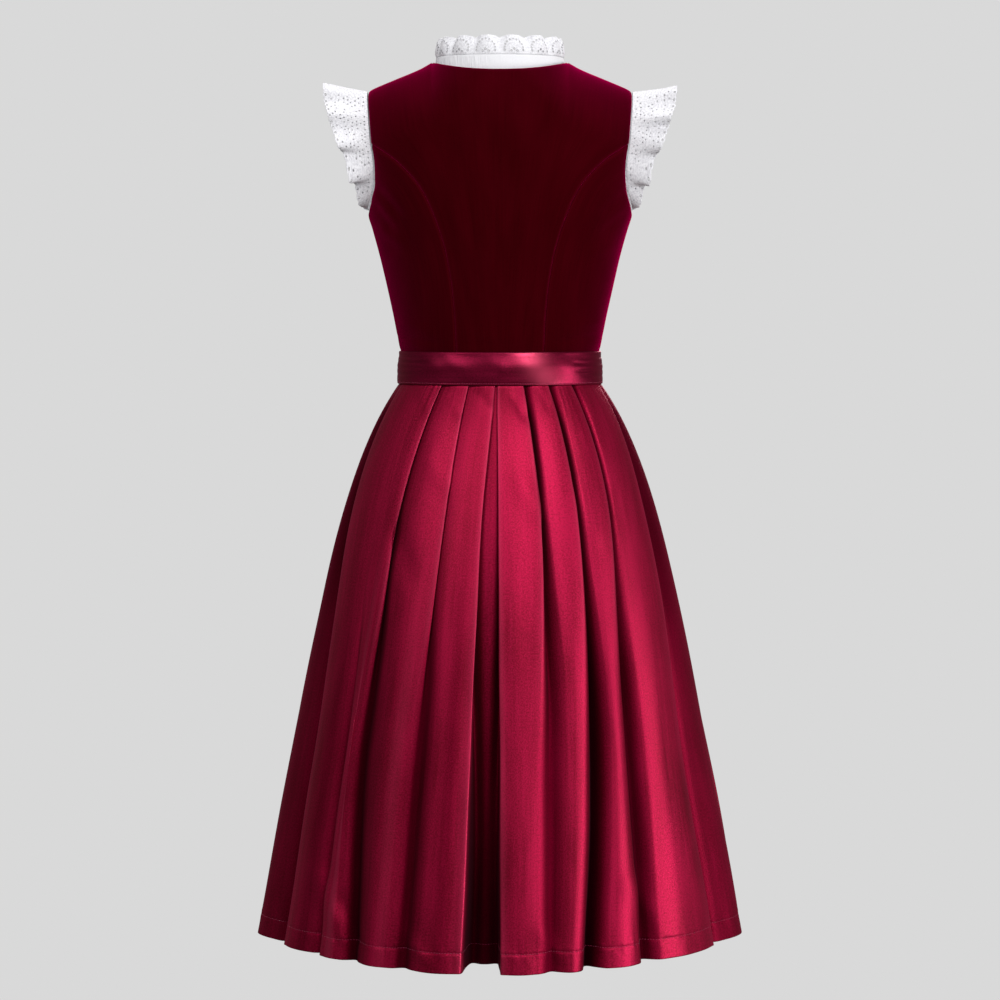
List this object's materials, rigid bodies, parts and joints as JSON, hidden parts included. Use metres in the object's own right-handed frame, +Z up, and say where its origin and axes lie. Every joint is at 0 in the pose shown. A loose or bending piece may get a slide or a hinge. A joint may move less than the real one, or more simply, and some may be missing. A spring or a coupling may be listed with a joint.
{
  "type": "dirndl",
  "caption": "Dirndl as worn, hollow and upright: velvet bodice with princess seams, pleated satin skirt, satin apron tied in a bow, white blouse with frilled stand collar and flutter sleeves",
  "frame": {"origin": "Middle of the neck opening, level with the inner ends of the shoulder seams, where a stand or a wearer's neck holds the dress", "axes": "+Z up, -Y the back of the dress, +Y its front, +X the wearer's right"},
  "size_m": [0.612, 0.4963, 1.1183],
  "materials": {
    "velvet": "velvet",
    "satin": "satin",
    "apron_satin": "satin",
    "cotton": "broderie and plain weave",
    "metal": "aged"
  },
  "bodies": {
    "root": {"bodice_back": "velvet", "bodice_front_right": "velvet", "bodice_front_left": "velvet", "bodice_side_back_right": "velvet", "bodice_side_back_left": "velvet", "bodice_side_front_right": "velvet", "bodice_side_front_left": "velvet", "skirt_back": "satin", "skirt_front": "satin", "apron_band": "apron_satin", "apron_panel": "apron_satin", "bow_knot": "apron_satin", "bow_loop_outer": "apron_satin", "bow_loop_inner": "apron_satin", "bow_tail_outer": "apron_satin", "bow_tail_inner": "apron_satin", "blouse_back": "cotton", "blouse_front": "cotton", "collar_band": "cotton", "collar_frill": "cotton", "sleeve_frill_right": "cotton", "sleeve_frill_left": "cotton", "blouse_button_1": "cotton", "blouse_button_2": "cotton", "blouse_button_3": "cotton", "blouse_button_4": "cotton", "bodice_button_1": "metal", "bodice_button_2": "metal", "bodice_button_3": "metal", "bodice_button_4": "metal", "bodice_button_5": "metal", "bodice_button_6": "metal", "bodice_button_7": "metal"}
  },
  "joints": []
}
